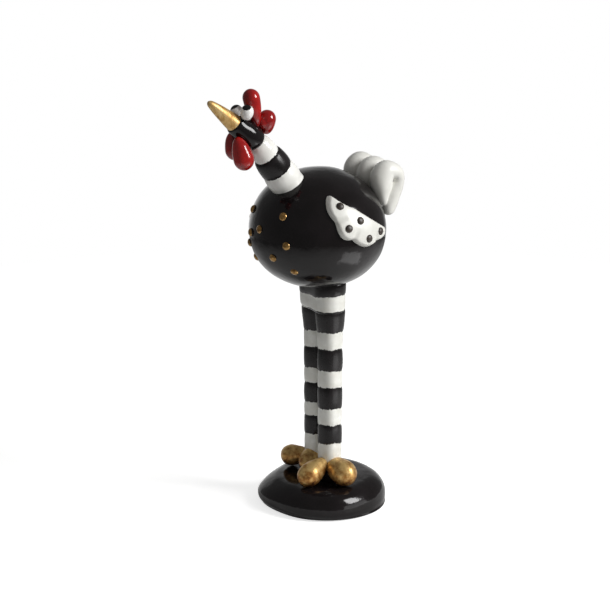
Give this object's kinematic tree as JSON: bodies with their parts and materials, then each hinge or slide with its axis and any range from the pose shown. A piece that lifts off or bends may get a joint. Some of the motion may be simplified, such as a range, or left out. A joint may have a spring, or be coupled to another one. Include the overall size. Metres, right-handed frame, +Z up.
{
  "type": "rooster ornament",
  "caption": "Standing rooster ornament with a round body, leaning banded neck, cone beak, comb, wattles, dotted wings, looped tail and long striped legs on a pebble base.",
  "frame": {"origin": "between the two legs, on the surface that the ornament stands on", "axes": "+Z up, -Y the way the bird faces, +X the bird's left side"},
  "size_m": [0.0834, 0.1171, 0.2443],
  "materials": {
    "black_glaze": "glossy black glaze",
    "banded_glaze": "glossy white glaze with hand-painted black bands",
    "white_glaze": "glossy warm white glaze",
    "eye_glaze": "glossy white glaze with a painted black pupil",
    "red_glaze": "glossy deep red glaze",
    "gold_lustre": "satin gold lustre over clay",
    "dark_stud_glaze": "glossy black-brown glaze",
    "rod_steel": "plain drawn steel",
    "cork": "pressed cork"
  },
  "bodies": {
    "root": {"base_stone": "black_glaze", "hip_yoke": "black_glaze", "body_shell": "black_glaze", "head": "black_glaze", "left_leg": "banded_glaze", "right_leg": "banded_glaze", "neck": "banded_glaze", "left_wing": "white_glaze", "right_wing": "white_glaze", "left_tail_feather": "white_glaze", "middle_tail_feather": "white_glaze", "right_tail_feather": "white_glaze", "left_eye": "eye_glaze", "right_eye": "eye_glaze", "front_comb_lobe": "red_glaze", "rear_comb_lobe": "red_glaze", "left_wattle": "red_glaze", "right_wattle": "red_glaze", "beak": "gold_lustre", "breast_studs": "gold_lustre", "left_outer_toe": "gold_lustre", "left_inner_toe": "gold_lustre", "right_outer_toe": "gold_lustre", "right_inner_toe": "gold_lustre", "left_wing_studs": "dark_stud_glaze", "right_wing_studs": "dark_stud_glaze", "left_leg_rod": "rod_steel", "right_leg_rod": "rod_steel", "neck_dowel": "rod_steel", "cork_pad": "cork"}
  },
  "joints": []
}
